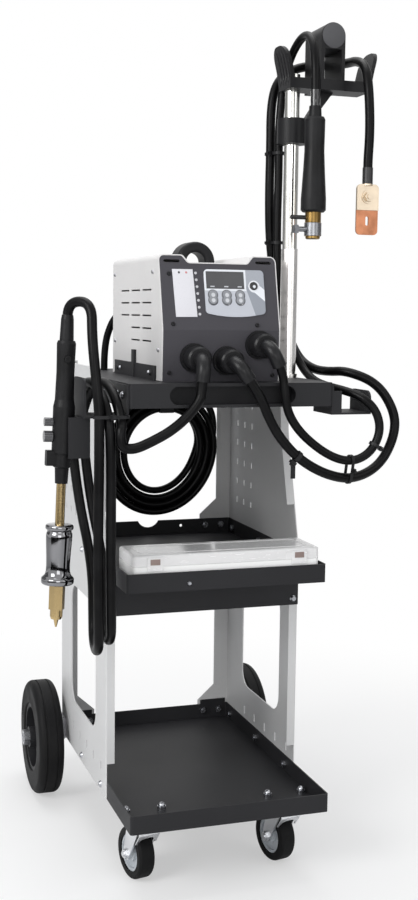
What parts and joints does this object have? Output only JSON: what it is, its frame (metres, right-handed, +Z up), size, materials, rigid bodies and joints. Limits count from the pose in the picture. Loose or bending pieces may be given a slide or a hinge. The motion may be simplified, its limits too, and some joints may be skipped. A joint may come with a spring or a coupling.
{
  "type": "dent pulling welder",
  "caption": "Dent pulling spot welder on a two shelf trolley with a pulling gun, slide hammer, hand tool, earth plate, cable hooks, tool mast and accessory box.",
  "frame": {"origin": "on the floor, in the middle of the object without its cables", "axes": "+X to the right seen from the control panel, +Y to the back, +Z up"},
  "size_m": [0.5481, 0.5939, 1.3026],
  "materials": {
    "black_sheet": "satin black powder coat",
    "panel_paint": "light grey powder coat",
    "axle_steel": "zinc plated steel",
    "tyre_rubber": "black rubber",
    "rim_plastic": "black moulded plastic",
    "castor_hub": "grey moulded plastic",
    "zinc": "bright zinc plate",
    "mast_chrome": "chrome plate",
    "holder_plastic": "black plastic",
    "cover_paint": "light grey powder coat",
    "front_paint": "dark grey powder coat",
    "overlay": "pale grey overlay",
    "display": "dark display window",
    "key_plastic": "dark plastic",
    "black_plastic": "black plastic",
    "core_iron": "laminated iron",
    "brass": "turned brass",
    "clear_box": "clear plastic",
    "cable_rubber": "black cable jacket"
  },
  "bodies": {
    "trolley": {"axle_blocks": "axle_steel", "box_base": "clear_box", "cable_hooks": "black_sheet", "cable_ties": "black_plastic", "castor_plates": "zinc", "control_panel": "overlay", "display_window": "display", "earth_cable": "cable_rubber", "earth_plate": "zinc", "gun_body": "holder_plastic", "gun_cable": "cable_rubber", "gun_chuck": "brass", "gun_hank": "cable_rubber", "gun_knobs": "mast_chrome", "gun_rod": "brass", "hand_tool_chuck": "brass", "hand_tool_grip": "holder_plastic", "lower_tray": "black_sheet", "mains_coil": "cable_rubber", "mains_lead": "cable_rubber", "mains_plug": "black_plastic", "mast_lower": "mast_chrome", "mast_upper": "mast_chrome", "middle_crossbar": "black_sheet", "middle_tray": "black_sheet", "output_plugs": "black_plastic", "output_sockets": "black_plastic", "rear_axle": "axle_steel", "side_panel_left": "panel_paint", "side_panel_right": "panel_paint", "tool_cable": "cable_rubber", "tool_holder": "holder_plastic", "top_shelf": "black_sheet", "transformer": "core_iron", "trolley_screws": "zinc", "unit_base": "front_paint", "unit_clamps": "black_sheet", "unit_cover": "cover_paint", "unit_front": "front_paint", "unit_handle": "holder_plastic", "unit_rear": "cover_paint"},
    "wheel_left": {"wheel_tyre_left": "tyre_rubber", "wheel_rim_left": "rim_plastic"},
    "wheel_right": {"wheel_tyre_right": "tyre_rubber", "wheel_rim_right": "rim_plastic"},
    "swivel_left": {"castor_fork_left": "zinc"},
    "swivel_right": {"castor_fork_right": "zinc"},
    "castor_left": {"castor_hub_left": "castor_hub", "castor_tyre_left": "tyre_rubber"},
    "castor_right": {"castor_hub_right": "castor_hub", "castor_tyre_right": "tyre_rubber"},
    "hammer": {"slide_hammer": "mast_chrome"},
    "trigger": {"gun_trigger": "key_plastic"},
    "left_key": {"key_left": "key_plastic"},
    "middle_key": {"key_middle": "key_plastic"},
    "right_key": {"key_right": "key_plastic"},
    "mode": {"mode_button": "key_plastic"},
    "switch": {"mains_switch": "key_plastic"},
    "fan": {"fan_rotor": "black_plastic"},
    "lid": {"box_lid": "clear_box"}
  },
  "joints": [
    {"name": "wheel_left_spin", "type": "hinge", "parent": "trolley", "child": "wheel_left", "pos_m": [-0.19, 0.195, 0.1], "axis": [1, 0, 0], "continuous": true},
    {"name": "castor_left_swivel", "type": "hinge", "parent": "trolley", "child": "swivel_left", "pos_m": [-0.114, -0.218, 0.1], "axis": [0, 0, 1], "continuous": true},
    {"name": "castor_left_spin", "type": "hinge", "parent": "swivel_left", "child": "castor_left", "pos_m": [-0.11899, -0.19452, 0.04], "axis": [0.9781, 0.2079, 0], "continuous": true},
    {"name": "wheel_right_spin", "type": "hinge", "parent": "trolley", "child": "wheel_right", "pos_m": [0.19, 0.195, 0.1], "axis": [1, 0, 0], "continuous": true},
    {"name": "castor_right_swivel", "type": "hinge", "parent": "trolley", "child": "swivel_right", "pos_m": [0.114, -0.218, 0.1], "axis": [0, 0, 1], "continuous": true},
    {"name": "castor_right_spin", "type": "hinge", "parent": "swivel_right", "child": "castor_right", "pos_m": [0.10901, -0.19452, 0.04], "axis": [0.9781, 0.2079, 0], "continuous": true},
    {"name": "hammer_slide", "type": "slide", "parent": "trolley", "child": "hammer", "axis": [0.0392, 0, 0.9992], "range_m": [0, 0.056]},
    {"name": "trigger_press", "type": "slide", "parent": "trolley", "child": "trigger", "axis": [0, 1, 0], "range_m": [0, 0.0025], "stiffness_N_per_m": 200},
    {"name": "left_key_rock", "type": "hinge", "parent": "trolley", "child": "left_key", "pos_m": [-0.0163, -0.22472, 0.8833], "axis": [1, 0, 0], "range_deg": [-4, 4], "stiffness_Nm_per_rad": 0.2},
    {"name": "middle_key_rock", "type": "hinge", "parent": "trolley", "child": "middle_key", "pos_m": [0.005, -0.22472, 0.8833], "axis": [1, 0, 0], "range_deg": [-4, 4], "stiffness_Nm_per_rad": 0.2},
    {"name": "right_key_rock", "type": "hinge", "parent": "trolley", "child": "right_key", "pos_m": [0.0258, -0.22472, 0.8833], "axis": [1, 0, 0], "range_deg": [-4, 4], "stiffness_Nm_per_rad": 0.2},
    {"name": "mode_press", "type": "slide", "parent": "trolley", "child": "mode", "axis": [0, 0.9727, -0.232], "range_m": [0, 0.0015], "stiffness_N_per_m": 200},
    {"name": "switch_rock", "type": "hinge", "parent": "trolley", "child": "switch", "pos_m": [-0.04, 0.0545, 0.812], "axis": [1, 0, 0], "range_deg": [-9, 9]},
    {"name": "fan_spin", "type": "hinge", "parent": "trolley", "child": "fan", "pos_m": [0.042, 0.036, 0.85], "axis": [0, 1, 0], "continuous": true},
    {"name": "lid_hinge", "type": "hinge", "parent": "trolley", "child": "lid", "pos_m": [0, -0.174, 0.496], "axis": [-1, 0, 0], "range_deg": [0, 100]}
  ]
}
